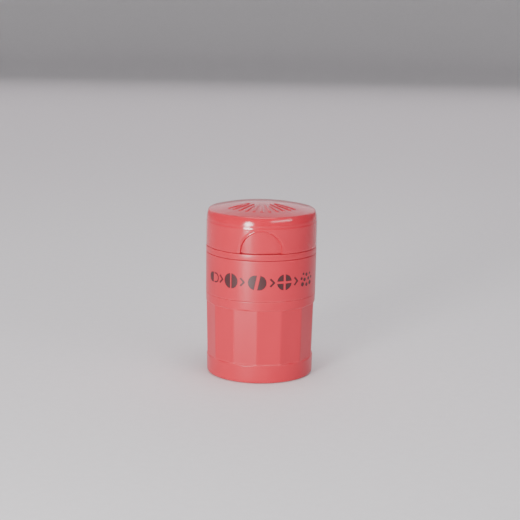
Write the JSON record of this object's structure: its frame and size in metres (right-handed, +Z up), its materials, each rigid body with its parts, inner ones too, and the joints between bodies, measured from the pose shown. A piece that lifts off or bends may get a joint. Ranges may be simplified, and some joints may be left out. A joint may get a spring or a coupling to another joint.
{
  "type": "pill splitter",
  "caption": "Cylindrical tablet splitter and crusher: hinged domed lid with a blade over a V cradle, storage compartment, and a screw-down crushing cup with grip flats.",
  "frame": {"origin": "centre of the underside of the crushing cup, where it stands", "axes": "+Z up along the cylinder's axis, -Y towards the front with the thumb recess, +Y towards the hinge, +X to the right seen from the front"},
  "size_m": [0.05, 0.0524, 0.0782],
  "materials": {
    "coral": "moulded, glossy",
    "white": "moulded, satin",
    "blade": "ground, with a bright edge",
    "pin": "plated",
    "seal": "soft silicone",
    "grip": "soft, matt"
  },
  "bodies": {
    "cup": {"cup_shell": "coral", "crush_liner": "white"},
    "crusher_ring": {"plunger_seal": "seal"},
    "plunger": {"plunger_body": "coral", "crush_plate": "white", "storage_sleeve": "coral"},
    "cutter": {"cutter_deck": "coral", "storage_seal": "seal", "pill_cradle": "white", "cradle_grip_left": "grip", "cradle_grip_right": "grip", "hinge_pin": "pin"},
    "lid": {"lid_shell": "coral", "blade_holder": "white", "blade_clamp": "white", "blade": "blade", "blade_screw_left": "pin", "blade_screw_right": "pin"}
  },
  "joints": [
    {"name": "crusher_rise", "type": "slide", "parent": "cup", "child": "crusher_ring", "axis": [0, 0, 1], "range_m": [0, 0.03]},
    {"name": "crusher_turn", "type": "hinge", "parent": "crusher_ring", "child": "plunger", "pos_m": [0, 0, 0.03], "axis": [0, 0, 1], "range_deg": [0, 3600]},
    {"name": "storage_pull", "type": "slide", "parent": "plunger", "child": "cutter", "axis": [0, 0, 1], "range_m": [0, 0.02]},
    {"name": "lid_hinge", "type": "hinge", "parent": "cutter", "child": "lid", "pos_m": [0, 0.0252, 0.05878], "axis": [-1, 0, 0], "range_deg": [0, 115]}
  ],
  "couplings": [
    {"joint": "crusher_rise", "follows": "crusher_turn", "m_per_rad": 0.00047746}
  ]
}
